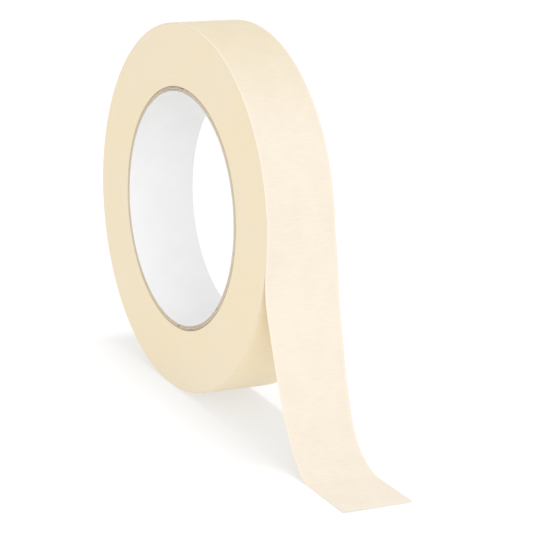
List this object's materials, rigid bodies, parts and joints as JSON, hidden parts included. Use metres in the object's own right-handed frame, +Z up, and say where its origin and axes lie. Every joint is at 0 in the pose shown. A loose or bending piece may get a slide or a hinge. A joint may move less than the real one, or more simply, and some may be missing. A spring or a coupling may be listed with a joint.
{
  "type": "masking tape roll",
  "caption": "Roll of crepe paper masking tape on a paper core, standing on its tread with its free end pulled out onto the ground.",
  "frame": {"origin": "the point on the tread that the roll stands on, under the middle of its axis", "axes": "+Z up, Y along the roll's axis, +X the way the free end of the tape runs out"},
  "size_m": [0.1775, 0.024, 0.122],
  "materials": {
    "liner_white": "satin",
    "core_board": "matte",
    "tape_crepe": "matte"
  },
  "bodies": {
    "roll": {"core_liner": "liner_white", "core_ply_inner": "core_board", "core_ply_middle": "core_board", "core_ply_outer": "core_board", "tape_pack": "tape_crepe", "outer_turn": "tape_crepe"},
    "tail_upper": {"tail_upper": "tape_crepe"},
    "tail_lower": {"tail_lower": "tape_crepe"},
    "tail_end": {"tail_end": "tape_crepe"}
  },
  "joints": [
    {"name": "tail_peel", "type": "hinge", "parent": "roll", "child": "tail_upper", "pos_m": [0.06093, 0, 0.05885], "axis": [0, -1, 0], "range_deg": [-3, 70], "stiffness_Nm_per_rad": 0.0005},
    {"name": "tail_bend", "type": "hinge", "parent": "tail_upper", "child": "tail_lower", "pos_m": [0.06953, 0, 0.03198], "axis": [0, -1, 0], "range_deg": [-35, 45], "stiffness_Nm_per_rad": 0.0005},
    {"name": "tail_end_curl", "type": "hinge", "parent": "tail_lower", "child": "tail_end", "pos_m": [0.0929, 0, 0.00058], "axis": [0, -1, 0], "range_deg": [-40, 60], "stiffness_Nm_per_rad": 0.0005}
  ]
}
